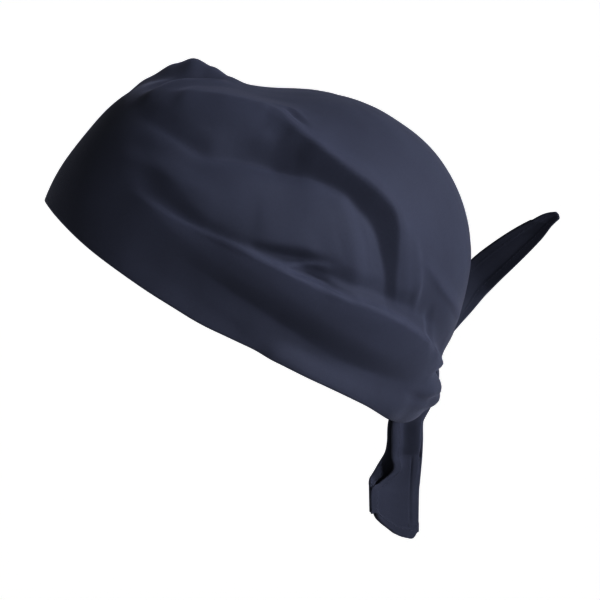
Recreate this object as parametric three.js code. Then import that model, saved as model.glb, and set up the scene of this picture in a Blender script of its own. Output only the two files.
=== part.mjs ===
// A plain bandana tied round a head, which itself is left out. The cloth keeps the worn form: a crown that
// runs up from the forehead, over the head and down to the nape, where its two ends are knotted and hang as
// short ties. Millimetres, +Z up. The wearer looks along -Y and has +X on the left. The origin is the middle
// of the head opening.

import * as THREE from "three";

// Driving sizes
const CLOTH = 1.6; // wall of the crown, with its turned hem or doubled cloth
const TIE_CLOTH = 1.4; // wall of the ties
const LIE_GAP = 0.5; // room left between two pieces that touch
const HALF_BREADTH = 80; // half of the widest part, over the ears
const EGG = 0.07; // the back is this much broader than the middle, and the forehead as much narrower
const SQUARENESS = 2.25; // exponent of the section across the head, where 2 is an ellipse
const RIM_TILT = 29; // degrees that the rim falls from the forehead to the nape
const HEAD_CENTRE = new THREE.Vector3(0, 5, 20);
const COLUMNS = 96; // steps round the crown
const ROWS = 26; // steps from the crown's top to the rim
const TOP_HOLE = 0.5; // degrees from the axis to the first ring

const NAVY = { color: 0x23263a, roughness: 0.85, metalness: 0 };

// Directions of the tilted rim: up through the crown, to the forehead, and to the wearer's left
const tilt = THREE.MathUtils.degToRad(RIM_TILT);
const AXIS = new THREE.Vector3(0, Math.sin(tilt), Math.cos(tilt));
const FRONT = new THREE.Vector3(0, -Math.cos(tilt), Math.sin(tilt));
const LEFT = new THREE.Vector3(1, 0, 0);

// The head's outline in the middle plane: degrees from AXIS towards the forehead, and reach from HEAD_CENTRE
const OUTLINE = [
  { at: -125, reach: 104 },
  { at: -110, reach: 109 },
  { at: -99, reach: 108 },
  { at: -88, reach: 101 },
  { at: -74, reach: 101.5 },
  { at: -56, reach: 104 },
  { at: -34, reach: 102 },
  { at: -14, reach: 94.8 },
  { at: 6, reach: 87 },
  { at: 24, reach: 83 },
  { at: 42, reach: 90.5 },
  { at: 60, reach: 99.5 },
  { at: 80, reach: 101 },
  { at: 103, reach: 104 },
  { at: 125, reach: 106 },
];

// The rim's height over its own plane, by degrees round from the forehead over the left ear
const RIM = [
  { at: 0, height: -2 },
  { at: 35, height: -3.5 },
  { at: 65, height: -5.3 },
  { at: 95, height: -5.8 },
  { at: 125, height: -6.8 },
  { at: 150, height: -10.5 },
  { at: 165, height: -5 },
  { at: 180, height: 0 },
  { at: 196, height: -5 },
  { at: 212, height: -9 },
  { at: 240, height: -8 },
  { at: 265, height: -8 },
  { at: 295, height: -6 },
  { at: 325, height: -4 },
];

// Folds of the crown. A route's stop is [degrees round from the forehead, degrees down from AXIS, height],
// with degrees over the right ear below zero. A fold fades out over the distances "above" and "below" it.
const LEFT_FOLDS = [
  { name: "band_fold", above: 9, below: 25, route: [
    [35, 84, 0], [55, 83.5, 1.5], [72, 82, 3], [96, 81.5, 4], [121, 80.5, 4.5], [140, 83.5, 4],
    [155, 88, 3], [168, 92, 0]] },
  { name: "band_tuck", above: 9, below: 7, route: [
    [74, 79, 0], [90, 76, -2], [104, 75.5, -2], [118, 75, -1.2], [138, 77, -0.8], [150, 80, 0]] },
  { name: "band_hollow", above: 9, below: 9, route: [
    [45, 92, 0], [60, 92, -1.5], [73, 93, -2], [92, 95.5, -2.5], [115, 96, -2.2], [132, 95, -2],
    [148, 94, -1.5], [160, 94, 0]] },
  { name: "temple_crease", above: 9, below: 8, route: [
    [28, 73, 0], [40, 74, -1.5], [50, 76, -2.2], [62, 77, -1.5], [72, 78, 0]] },
  { name: "side_puff", above: 24, below: 24, route: [
    [38, 72, 0], [50, 69, 2], [66, 64, 3.5], [82, 60, 4], [97, 64, 4], [107, 72, 2.5], [112, 80, 0]] },
  { name: "crown_groove", above: 13, below: 17, route: [
    [10, 68, 0], [25, 64, -1.5], [42, 61, -3], [52, 55, -3.5], [61, 50, -4], [73, 47.5, -4],
    [91, 48, -4], [100, 50, -4], [107, 55, -4], [113, 61, -3.5], [118, 69, -2.5], [122, 78, 0]] },
  { name: "crown_fold", above: 24, below: 13, route: [
    [8, 62, 0], [15, 55, 1.5], [21, 50, 2.5], [32, 41, 4], [45, 33.5, 4.5], [53, 35, 4.5],
    [66, 37, 4.5], [83, 39, 5], [94, 41, 5], [105, 44, 5], [113, 47, 5], [118, 52, 4.5], [121, 60, 4],
    [123, 68, 3], [127, 76, 0]] },
  { name: "nape_crease", above: 10, below: 7, route: [
    [131, 62, 0], [138, 65, 1.5], [146, 69, 2.5], [156, 73, 2.5], [166, 76, 0]] },
  { name: "nape_hollow", above: 11, below: 11, route: [
    [128, 64, 0], [136, 70, -2], [146, 77, -3], [154, 84, -2], [160, 88, 0]] },
  { name: "pinch", above: 8, below: 7, route: [
    [176, 90, -2.5], [168, 91, -5], [158, 92, -2.5], [150, 93, 0]] },
  { name: "lobe", above: 10, below: 12, route: [
    [146, 98, 0], [156, 97, 2.5], [164, 97, 4.5], [172, 97, 3.5], [178, 97, 0]] },
];
const RIGHT_FOLDS = [
  { name: "band_fold", above: 9, below: 15, route: [
    [-38, 87, 0], [-58, 87, 2], [-80, 88, 3.5], [-104, 86, 4], [-128, 85, 4], [-146, 87, 3.5],
    [-160, 90, 0]] },
  { name: "band_tuck", above: 9, below: 7, route: [
    [-60, 82, 0], [-84, 80, -2], [-110, 78, -2.5], [-132, 79, -1.5], [-145, 82, 0]] },
  { name: "band_hollow", above: 12, below: 13, route: [
    [-50, 93, 0], [-75, 95, -2.5], [-102, 94, -3], [-130, 94, -2], [-150, 94, -1.5], [-162, 94, 0]] },
  { name: "side_puff", above: 22, below: 24, route: [
    [-42, 76, 0], [-56, 70, 2], [-76, 65, 3.5], [-94, 69, 3.5], [-104, 78, 0]] },
  { name: "crown_groove", above: 10, below: 16, route: [
    [-34, 68, 0], [-52, 58, -3], [-70, 52, -4], [-90, 53, -4], [-104, 60, -3.5], [-116, 69, -3],
    [-124, 79, 0]] },
  { name: "crown_fold", above: 22, below: 10, route: [
    [-32, 58, 0], [-48, 49, 2], [-66, 43, 4], [-86, 43, 4.5], [-104, 49, 4.5], [-118, 57, 4], [-128, 68, 2.5],
    [-134, 79, 0]] },
  { name: "nape_crease", above: 10, below: 8, route: [
    [-140, 60, 0], [-146, 67, 2], [-154, 73, 2.5], [-164, 78, 0]] },
  { name: "pinch", above: 8, below: 7, route: [
    [-176, 91, -2.5], [-167, 92, -3.5], [-156, 94, -2], [-147, 95, 0]] },
  { name: "lobe", above: 10, below: 12, route: [
    [-148, 99, 0], [-158, 98, 2.5], [-165, 98, 4.5], [-172, 97, 3.5], [-178, 97, 0]] },
];
const TOP_FOLDS = [
  { name: "front_peak", above: 18, below: 16, route: [
    [-26, 80, 0], [-24, 68, 1], [-22, 58, 4], [-19, 50, 8], [-17, 45, 10], [-15, 41, 4], [-13, 38, 0]] },
  { name: "top_lip", above: 9, below: 9, route: [
    [14, 66, 0], [9, 58, 1.5], [7, 50, 2.5], [5, 42, 2], [2, 34, 0]] },
  { name: "top_valley", above: 9, below: 9, route: [[5, 62, 0], [0, 52, -3], [-3, 44, -3], [-8, 36, 0]] },
  { name: "back_ridge", above: 12, below: 10, route: [
    [171, 83, 3], [168, 74, 2.5], [163, 62, 1.5], [158, 50, 0]] },
  { name: "back_valley", above: 9, below: 9, route: [
    [180, 81, -2.5], [181, 72, -2.5], [184, 61, -1], [186, 52, 0]] },
];

// The knot, a mound of wrapped cloth. It lies in a dimple of the crown, and grooves part its layers.
const KNOT = { around: 180, down: 92, width: 27, height: 31, edge: 1.5, rise: 7.5, dimple: 9, radius: 26 };
const KNOT_GROOVES = [
  { at: -5, slant: 0.35, depth: 1.6, reach: 4 },
  { at: 6, slant: 0.15, depth: 1.2, reach: 3.5 },
];
const KNOT_STEPS = { rings: 9, columns: 44 };

// Ties. x, y and z are a place in the middle of the tie, from its root on the knot, and "at" is the distance
// there. "turn" is in degrees, about the tie. The upper tie is one leaf of cloth. The lower one is doubled:
// its front and back layers meet in a fold at the rear edge, and "front" and "back" are their widths there.
const UPPER_TIE = [
  { at: 0, x: 0, y: 0, z: 0, width: 9, turn: 12, curl: 1.4 },
  { at: 8, x: -2, y: 5.4, z: 5.6, width: 11, turn: 12, curl: 1.6 },
  { at: 19, x: -6, y: 11.9, z: 12.8, width: 14.5, turn: 8, curl: 1.8 },
  { at: 33, x: -9, y: 18.4, z: 22.7, width: 17, turn: 0, curl: 1.8 },
  { at: 42, x: -7, y: 23.7, z: 29.6, width: 16.8, turn: -6, curl: 1.6 },
  { at: 57, x: 1, y: 32.8, z: 40.6, width: 15.2, turn: -14, curl: 1.6 },
  { at: 72, x: 11, y: 42.3, z: 51.8, width: 12, turn: -20, curl: 1.3 },
  { at: 81, x: 17.5, y: 47.4, z: 58.7, width: 7.6, turn: -22, curl: 0.8 },
  { at: 89, x: 22.5, y: 50.8, z: 64.6, width: 3.6, turn: -22, curl: 0.3 },
];
const LOWER_TIE = [
  { at: 0, x: 0, y: -3, z: -0.4, turn: -4, front: 12, back: 12, gap: 0, roll: 1, slant: 0 },
  { at: 4, x: 0.4, y: -3.4, z: -3.5, turn: -6, front: 13, back: 13, gap: 0, roll: 1.6, slant: 0 },
  { at: 15, x: 2.6, y: -8.2, z: -13, turn: -12, front: 16, back: 16, gap: 0.2, roll: 2.4, slant: 0 },
  { at: 27, x: 3, y: -8.7, z: -25, turn: -12, front: 16, back: 16.5, gap: 1, roll: 2, slant: 0 },
  { at: 33, x: 3, y: -8.9, z: -31, turn: -12, front: 15.5, back: 17.2, gap: 2.5, roll: 1.2, slant: 0 },
  { at: 40, x: 3, y: -9.4, z: -38, turn: -12, front: 14, back: 20.4, gap: 4, roll: 0.6, slant: 0 },
  { at: 47, x: 3, y: -9.8, z: -45, turn: -12, front: 20, back: 24.8, gap: 3, roll: 0.3, slant: 0.8 },
  { at: 52, x: 3, y: -9.9, z: -50, turn: -12, front: 24.5, back: 25.5, gap: 2, roll: 0.3, slant: 1.6 },
  { at: 71.5, x: 3, y: -9.9, z: -69.5, turn: -9, front: 24, back: 24.5, gap: 0.8, roll: 0.2, slant: 4.4 },
];
// Where the ties leave the knot, as knotPoint takes it, just clear of the knot's own cloth
const UPPER_ROOT = { share: 0.97, degrees: 58, out: 2.5 };
const LOWER_ROOT = { share: 1, degrees: -90, out: 0.5 };
const REAR_FOLD = 8; // from the middle of the lower tie to the fold that joins its layers
const LAYER_TURN = 1; // radius of that fold
const TIE_STEPS = { upper: 28, upperAcross: 10, lower: 30, layerAcross: 8, turnAcross: 4 };

const smooth = (t) => t * t * (3 - 2 * t);
const bell = (x) => (Math.abs(x) < 1 ? (1 - x * x) ** 2 : 0);

// Reads a column of a table at a place between its rows, on a smooth curve through them.
function read(table, column, place) {
  const last = table.length - 1;
  const p = Math.min(Math.max(place, table[0].at), table[last].at);
  let i = 0;
  while (i < last - 1 && table[i + 1].at < p) i += 1;
  const slope = (k) => {
    const a = table[Math.max(k - 1, 0)];
    const b = table[Math.min(k + 1, last)];
    return (b[column] - a[column]) / (b.at - a.at);
  };
  const span = table[i + 1].at - table[i].at;
  const t = (p - table[i].at) / span;
  const rise = (1 - t) * (1 - t) * t * span * slope(i) - (1 - t) * t * t * span * slope(i + 1);
  return table[i][column] * (1 - smooth(t)) + table[i + 1][column] * smooth(t) + rise;
}

// The same for a table that runs once round the head
function readRound(table, column, degrees) {
  const turned = (rows, by) => rows.map((row) => ({ ...row, at: row.at + by }));
  const round = [...turned(table.slice(-2), -360), ...table, ...turned(table.slice(0, 2), 360)];
  return read(round, column, ((degrees % 360) + 360) % 360);
}

function direction(around, down) {
  const a = THREE.MathUtils.degToRad(around);
  const d = THREE.MathUtils.degToRad(down);
  return new THREE.Vector3()
    .addScaledVector(AXIS, Math.cos(d))
    .addScaledVector(FRONT, Math.sin(d) * Math.cos(a))
    .addScaledVector(LEFT, Math.sin(d) * Math.sin(a));
}

// Reach of the smooth head form in a direction from HEAD_CENTRE.
function headReach(d) {
  const up = d.dot(AXIS);
  const front = d.dot(FRONT);
  const flat = Math.hypot(up, front);
  const outline = read(OUTLINE, "reach", THREE.MathUtils.radToDeg(Math.atan2(front, up)));
  const breadth = HALF_BREADTH * (1 - EGG * front);
  const across = (Math.abs(d.x) / breadth) ** SQUARENESS + (flat / outline) ** SQUARENESS;
  return across ** (-1 / SQUARENESS);
}

const onHead = (around, down) => {
  const d = direction(around, down);
  return d.multiplyScalar(headReach(d)).add(HEAD_CENTRE);
};

// Degrees down from AXIS at which the crown ends.
function rimDown(around) {
  const height = readRound(RIM, "height", around);
  let down = 100;
  for (let i = 0; i < 6; i += 1) {
    const reach = headReach(direction(around, down));
    down = THREE.MathUtils.radToDeg(Math.acos((height - HEAD_CENTRE.dot(AXIS)) / reach));
  }
  return down;
}

// A fold's route as many points on the head form, each with its height.
function foldLine(fold) {
  const stops = fold.route.map(([around, down]) => onHead(around, down));
  const line = new THREE.CatmullRomCurve3(stops, false, "centripetal");
  const parts = (stops.length - 1) * 8;
  return [...Array(parts + 1)].map((_, k) => {
    const t = k / parts;
    const stop = Math.min(Math.floor(t * (stops.length - 1)), stops.length - 2);
    const share = smooth(t * (stops.length - 1) - stop);
    const height = fold.route[stop][2] * (1 - share) + fold.route[stop + 1][2] * share;
    return { at: line.getPoint(t), height };
  });
}

const FOLD_LINES = [...LEFT_FOLDS, ...RIGHT_FOLDS, ...TOP_FOLDS].map((fold) => ({
  ...fold,
  line: foldLine(fold),
  side: Math.sign(fold.route.reduce((sum, [around]) => sum + Math.sin(THREE.MathUtils.degToRad(around)), 0)),
}));

// How far a fold lifts the cloth at a point of the head form.
function foldLift(fold, p, out) {
  let nearest = Infinity;
  let lift = 0;
  for (let k = 0; k < fold.line.length - 1; k += 1) {
    const a = fold.line[k];
    const b = fold.line[k + 1];
    const step = b.at.clone().sub(a.at);
    const t = Math.min(Math.max(p.clone().sub(a.at).dot(step) / step.lengthSq(), 0), 1);
    const off = p.clone().sub(a.at).addScaledVector(step, -t);
    const distance = off.length();
    if (distance < nearest) {
      nearest = distance;
      const isAbove = step.cross(off).dot(out) * fold.side > 0;
      lift = (a.height * (1 - t) + b.height * t) * bell(distance / (isAbove ? fold.above : fold.below));
    }
  }
  return lift;
}

const KNOT_SEAT = onHead(KNOT.around, KNOT.down);

// A point of the crown's outside, with its folds and the dimple under the knot.
function crownPoint(around, down) {
  const out = direction(around, down);
  const p = onHead(around, down);
  const lifts = FOLD_LINES.map((fold) => foldLift(fold, p, out));
  const dimple = KNOT.dimple * bell(p.distanceTo(KNOT_SEAT) / KNOT.radius);
  return p.addScaledVector(out, lifts.reduce((sum, lift) => sum + lift, -dimple));
}

// The crown's outside, ring by ring from the top to the rim
function crownRings() {
  const rings = [];
  for (let r = 0; r <= ROWS; r += 1) {
    const ring = [];
    for (let c = 0; c < COLUMNS; c += 1) {
      const around = (360 * c) / COLUMNS;
      const down = TOP_HOLE + (rimDown(around) - TOP_HOLE) * (r / ROWS);
      ring.push(crownPoint(around, down));
    }
    rings.push(ring);
  }
  return rings;
}

// Normals of a grid of points, which may close on itself sideways.
function gridNormals(rows, isRound) {
  const last = rows.length - 1;
  return rows.map((row, r) =>
    row.map((_, c) => {
      const n = row.length;
      const next = isRound ? (c + 1) % n : Math.min(c + 1, n - 1);
      const before = isRound ? (c + n - 1) % n : Math.max(c - 1, 0);
      const along = rows[Math.min(r + 1, last)][c].clone().sub(rows[Math.max(r - 1, 0)][c]);
      return along.cross(row[next].clone().sub(row[before])).normalize();
    }),
  );
}

const moved = (rows, normals, distance) =>
  rows.map((row, r) => row.map((p, c) => p.clone().addScaledVector(normals[r][c], distance)));

function solid(points, faces) {
  const geometry = new THREE.BufferGeometry();
  geometry.setAttribute("position", new THREE.Float32BufferAttribute(points.flatMap((p) => p.toArray()), 3));
  geometry.setIndex(faces.flat());
  geometry.computeVertexNormals();
  return geometry;
}

// A domed body between outer and inner rings. A fan closes each in the middle, and an edge joins their rims.
function dome(outer, inner) {
  const rows = outer.length;
  const n = outer[0].length;
  const points = [...outer.flat(), ...inner.flat()];
  const out = (r, c) => r * n + (c % n);
  const inn = (r, c) => rows * n + out(r, c);
  const faces = [];
  for (let r = 0; r < rows - 1; r += 1) {
    for (let c = 0; c < n; c += 1) {
      faces.push([out(r, c), out(r + 1, c), out(r, c + 1)]);
      faces.push([out(r, c + 1), out(r + 1, c), out(r + 1, c + 1)]);
      faces.push([inn(r, c), inn(r, c + 1), inn(r + 1, c)]);
      faces.push([inn(r, c + 1), inn(r + 1, c + 1), inn(r + 1, c)]);
    }
  }
  const middle = (ring) => ring.reduce((sum, p) => sum.add(p), new THREE.Vector3()).divideScalar(n);
  const top = points.push(middle(outer[0]), middle(inner[0])) - 2;
  const last = rows - 1;
  for (let c = 0; c < n; c += 1) {
    faces.push([out(last, c), inn(last, c), out(last, c + 1)]);
    faces.push([out(last, c + 1), inn(last, c), inn(last, c + 1)]);
    faces.push([top, out(0, c), out(0, c + 1)], [top + 1, inn(0, c + 1), inn(0, c)]);
  }
  return solid(points, faces);
}

// A wall on both sides of a grid of points, closed along its four edges.
function sheetWall(rows, thickness) {
  const normals = gridNormals(rows, false);
  const n = rows[0].length;
  const last = rows.length - 1;
  const side = (distance) => moved(rows, normals, distance).flat();
  const points = [...side(thickness / 2), ...side(-thickness / 2)];
  const out = (r, c) => r * n + c;
  const inn = (r, c) => rows.length * n + out(r, c);
  const faces = [];
  for (let r = 0; r < last; r += 1) {
    for (let c = 0; c < n - 1; c += 1) {
      faces.push([out(r, c), out(r + 1, c), out(r, c + 1)]);
      faces.push([out(r, c + 1), out(r + 1, c), out(r + 1, c + 1)]);
      faces.push([inn(r, c), inn(r, c + 1), inn(r + 1, c)]);
      faces.push([inn(r, c + 1), inn(r + 1, c + 1), inn(r + 1, c)]);
    }
    faces.push([out(r, 0), inn(r, 0), out(r + 1, 0)], [out(r + 1, 0), inn(r, 0), inn(r + 1, 0)]);
    faces.push([out(r, n - 1), out(r + 1, n - 1), inn(r, n - 1)]);
    faces.push([out(r + 1, n - 1), inn(r + 1, n - 1), inn(r, n - 1)]);
  }
  for (let c = 0; c < n - 1; c += 1) {
    faces.push([out(0, c), out(0, c + 1), inn(0, c)], [out(0, c + 1), inn(0, c + 1), inn(0, c)]);
    faces.push([out(last, c), inn(last, c), out(last, c + 1)]);
    faces.push([out(last, c + 1), inn(last, c), inn(last, c + 1)]);
  }
  return solid(points, faces);
}

const CROWN_RINGS = crownRings();
const CROWN_NORMALS = gridNormals(CROWN_RINGS, true);

// A point over the crown's facets, by its distances from the knot's middle to the wearer's left, upwards and
// outwards. Where it lies on the crown it keeps the gap of two pieces that touch.
function overCrown(left, up, out) {
  const reach = KNOT_SEAT.distanceTo(HEAD_CENTRE);
  const down = KNOT.down - THREE.MathUtils.radToDeg(up / reach);
  const around = KNOT.around - THREE.MathUtils.radToDeg(left / reach);
  const column = (around * COLUMNS) / 360;
  const row = ((down - TOP_HOLE) / (rimDown(around) - TOP_HOLE)) * ROWS;
  const c = Math.floor(column);
  const r = Math.min(Math.floor(row), ROWS - 1);
  const across = column - c;
  const along = Math.min(row - r, 1);
  const blend = (grid) => {
    const corner = (i, k) => grid[r + i][(c + k) % COLUMNS].clone();
    if (along + across <= 1) {
      const start = corner(0, 0);
      return corner(1, 0).sub(start).multiplyScalar(along)
        .addScaledVector(corner(0, 1).sub(start), across).add(start);
    }
    const start = corner(1, 1);
    return corner(0, 1).sub(start).multiplyScalar(1 - along)
      .addScaledVector(corner(1, 0).sub(start), 1 - across).add(start);
  };
  return blend(CROWN_RINGS)
    .addScaledVector(blend(CROWN_NORMALS).normalize(), LIE_GAP)
    .addScaledVector(direction(around, down), out);
}

// A place on the knot, by its share of the way from the middle to the edge and its degrees round from the
// wearer's right. The under side lies on the crown.
function knotPoint(share, degrees, { isUnder = false, extra = 0 } = {}) {
  const turn = THREE.MathUtils.degToRad(degrees);
  const left = (-share * Math.cos(turn) * KNOT.width) / 2;
  const up = (share * Math.sin(turn) * KNOT.height) / 2;
  if (isUnder) return overCrown(left, up, 0);
  const grooves = KNOT_GROOVES.map((g) => g.depth * bell((left - g.at - g.slant * up) / g.reach));
  const rise = KNOT.rise * Math.sqrt(1 - share * share) - grooves.reduce((sum, depth) => sum + depth, 0);
  return overCrown(left, up, KNOT.edge + Math.max(rise, 0) + extra);
}

function knot() {
  const { rings, columns } = KNOT_STEPS;
  const side = (isUnder) =>
    [...Array(rings)].map((_, r) => {
      const share = Math.sin(((r + 1) / rings) * (Math.PI / 2));
      return [...Array(columns)].map((__, c) => knotPoint(share, (360 * c) / columns, { isUnder }));
    });
  return dome(side(false), side(true));
}

// Rows of points in the middle of a tie's cloth. A section gives each point's way across, out and along.
function tieRows(root, table, steps, section) {
  const length = table[table.length - 1].at;
  const place = (at) => ["x", "y", "z"].map((column) => read(table, column, at));
  const middle = (at) => new THREE.Vector3(...place(at)).add(root);
  return [...Array(steps + 1)].map((_, k) => {
    const at = (length * k) / steps;
    const row = Object.fromEntries(Object.keys(table[0]).map((column) => [column, read(table, column, at)]));
    const along = middle(at + 1).sub(middle(at - 1)).normalize();
    const turn = THREE.MathUtils.degToRad(row.turn);
    const across = LEFT.clone().cross(along).normalize().applyAxisAngle(along, turn);
    const out = along.clone().cross(across);
    return section(row).map((p) =>
      middle(at)
        .addScaledVector(across, p.across)
        .addScaledVector(out, p.out)
        .addScaledVector(along, p.along),
    );
  });
}

function upperTie() {
  const root = knotPoint(UPPER_ROOT.share, UPPER_ROOT.degrees, { extra: UPPER_ROOT.out });
  const section = (row) =>
    [...Array(TIE_STEPS.upperAcross + 1)].map((_, k) => {
      const place = (2 * k) / TIE_STEPS.upperAcross - 1;
      return { across: (place * row.width) / 2, out: row.curl * (place * place - 0.4), along: 0 };
    });
  return sheetWall(tieRows(root, UPPER_TIE, TIE_STEPS.upper, section), TIE_CLOTH);
}

// Places across the lower tie: the front layer from its free edge to the rear fold, round the fold, and the
// back layer from there to its own free edge.
function lowerSection(row) {
  const rear = REAR_FOLD;
  const { layerAcross, turnAcross } = TIE_STEPS;
  const points = [];
  const drop = (across) => (row.slant * across) / rear;
  for (let k = 0; k <= layerAcross; k += 1) {
    const t = k / layerAcross;
    const across = rear - row.front * (1 - t);
    points.push({ across, out: LAYER_TURN + row.roll * Math.sin(2 * Math.PI * t) ** 2, along: drop(across) });
  }
  for (let k = 1; k < turnAcross; k += 1) {
    const turn = (Math.PI * k) / turnAcross;
    const across = rear + LAYER_TURN * Math.sin(turn);
    points.push({ across, out: LAYER_TURN * Math.cos(turn), along: drop(rear) });
  }
  for (let k = 0; k <= layerAcross; k += 1) {
    const t = k / layerAcross;
    const across = rear - row.back * t;
    points.push({ across, out: -LAYER_TURN - row.gap * Math.sin(0.75 * Math.PI * t), along: drop(across) });
  }
  return points;
}

function lowerTie() {
  const root = knotPoint(LOWER_ROOT.share, LOWER_ROOT.degrees, { extra: LOWER_ROOT.out });
  return sheetWall(tieRows(root, LOWER_TIE, TIE_STEPS.lower, lowerSection), TIE_CLOTH);
}

const cloth = (name, geometry) => {
  const mesh = new THREE.Mesh(geometry, new THREE.MeshStandardMaterial(NAVY));
  mesh.name = name;
  return mesh;
};

const bandana = new THREE.Group();
bandana.add(cloth("crown", dome(CROWN_RINGS, moved(CROWN_RINGS, CROWN_NORMALS, -CLOTH))));
bandana.add(cloth("knot", knot()));
bandana.add(cloth("tie_upper", upperTie()), cloth("tie_lower", lowerTie()));

export default bandana;
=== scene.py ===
"""A plain navy bandana in its worn form, tied at the nape, with nothing inside it."""
import math
import bpy
import numpy as np
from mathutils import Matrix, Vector


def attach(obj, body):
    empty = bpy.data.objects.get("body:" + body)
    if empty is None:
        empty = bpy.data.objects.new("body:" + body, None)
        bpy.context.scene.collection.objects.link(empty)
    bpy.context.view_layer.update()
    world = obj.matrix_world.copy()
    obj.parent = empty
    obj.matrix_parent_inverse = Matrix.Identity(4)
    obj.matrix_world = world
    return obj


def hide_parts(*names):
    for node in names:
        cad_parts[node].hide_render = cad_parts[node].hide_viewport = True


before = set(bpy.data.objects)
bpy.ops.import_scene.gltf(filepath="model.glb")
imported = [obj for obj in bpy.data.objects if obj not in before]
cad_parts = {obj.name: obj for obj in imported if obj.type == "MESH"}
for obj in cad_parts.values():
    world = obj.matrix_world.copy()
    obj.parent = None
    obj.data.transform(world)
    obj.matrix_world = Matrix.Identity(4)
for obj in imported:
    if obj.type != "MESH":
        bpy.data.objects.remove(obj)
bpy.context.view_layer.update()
scene = bpy.context.scene
MM = 0.001  # lengths below are in millimetres and angles in degrees, except where a comment says otherwise

# Camera, at the photograph's angle
AZIMUTH, ELEVATION = 80.0, 14.0
DISTANCE, LENS, SENSOR = 1600.0, 200.0, 36.0
AIM_RIGHT, AIM_UP = 27.4, 1.0  # from the origin to the middle of the picture

# Cloth
CLOTH = 0.9  # one layer
BAND = 1.7  # the doubled cloth inside the rim
BAND_HEIGHT = 31.0  # from the rim to the hem of the turned-up edge
BAND_STEP = 1.6  # the way over which the band's second layer begins
BAND_HEM, BAND_HEM_THICK = 7.0, 0.5  # the turned hem along that edge: its breadth, and what it adds
BAND_HEM_TOP, BAND_HEM_FOOT = 1.2, 1.5  # the ways over which the hem begins and ends
BAND_SEWN_AT = 6.2  # from that edge down to its stitches
MM_A_DEGREE = 1.75  # along the cloth, for each degree down the head
RIM_STEPS = 6  # round the fold at the rim
LIE_GAP = 0.5  # room left between two pieces that touch
THREAD = 0.42  # one repeat of the weave
BIAS, MEAN_REACH = 45.0, 98.0  # the weave's turn against the forehead, and the head's mean reach

# Colours and finishes
NAVY = (0.0335, 0.0375, 0.0585)
THREAD_SHADES = (0.028, 0.031, 0.05, 1), (0.042, 0.046, 0.071, 1)
FLOOR_GREY, FLOOR_GLOW = (0.3, 0.3, 0.3), 0.94
COTTON_FINISH = {"Roughness": 0.78, "Specular IOR Level": 0.2, "Sheen Weight": 0.1, "Sheen Roughness": 0.45,
                 "Sheen Tint": (0.55, 0.58, 0.8, 1)}
THREAD_FINISH = {"Roughness": 0.6, "Specular IOR Level": 0.3}
# The cotton's noises: scale, detail and roughness
CLOUD_NOISE, SLUB_NOISE, NAP_NOISE = (28, 4, 0.55), (900, 3, 0.6), (160, 3, 0.5)
# How much each adds to the cotton's tone, the last being a painted highlight along proud fold crests, and the
# depths of its relief in metres
CLOUD_TONE, SLUB_TONE, WEAVE_TONE, WEAVE_DARK, CREST_HIGHLIGHT_TONE = 0.28, 0.2, 0.3, 0.8, 0.12
WEAVE_DEPTH, SLUB_DEPTH, NAP_DEPTH = 0.00006, 0.00005, 0.00022

# Stage: the floor, in metres, and the lights, as name, azimuth, elevation, distance and size in metres,
# power in watts, spread, and the place lit in millimetres
FLOOR_HALF, FLOOR_LEVEL = 40.0, -0.62
LIT_SIDE = (65, 40, 78)
LIGHTS = [
    ("key", 133, 26, 2.2, 0.5, 1.0, 14, LIT_SIDE),
    ("second_key", 165, 35, 2.2, 0.5, 0.78, 14, LIT_SIDE),
    ("fill", 60, 5, 3.0, 1.6, 9, 180, (0, 0, 0)),
]
# The world's brightness falls from the first value to the second as its direction rises between two heights
WORLD = {"From Min": 0.1, "From Max": 0.4, "To Min": 0.88, "To Max": 0.12}
GAMMA = 0.65

# Head form, tilted back as the rim is
HALF_BREADTH = 80.0
EGG = 0.07
SQUARENESS = 2.25
HEAD_CENTRE = np.array([0.0, 5.0, 20.0])
TILT = math.radians(29.0)
AXIS = np.array([0.0, math.sin(TILT), math.cos(TILT)])
FRONT = np.array([0.0, -math.cos(TILT), math.sin(TILT)])
LEFT = np.array([1.0, 0.0, 0.0])
COLUMNS, ROWS = 372, 126
TOP_HOLE = 0.5  # degrees from the axis to the first row
DENSER, DENSE_AT = 0.45, 118.0  # the columns lie closer together on the side with the finest folds

# Reach from HEAD_CENTRE in the middle plane, by degrees from AXIS towards the forehead
OUTLINE = np.array([
    (-125, 104), (-110, 109), (-99, 108), (-88, 101), (-74, 101.5), (-56, 104), (-34, 102), (-14, 94.8),
    (6, 87), (24, 83), (42, 90.5), (60, 99.5), (80, 101), (103, 104), (125, 106)], float)
# The rim's height over its own plane, by degrees round from the forehead over the left ear
RIM = np.array([
    (0, 0.6), (12, 0.2), (35, -3.3), (65, -6.6), (80, -6.4), (95, -5.3), (115, -4.8), (130, -5.6),
    (150, -10.3), (165, -5), (180, 0), (196, -5), (212, -9), (240, -8), (265, -8), (295, -6),
    (325, -4)], float)

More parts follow.
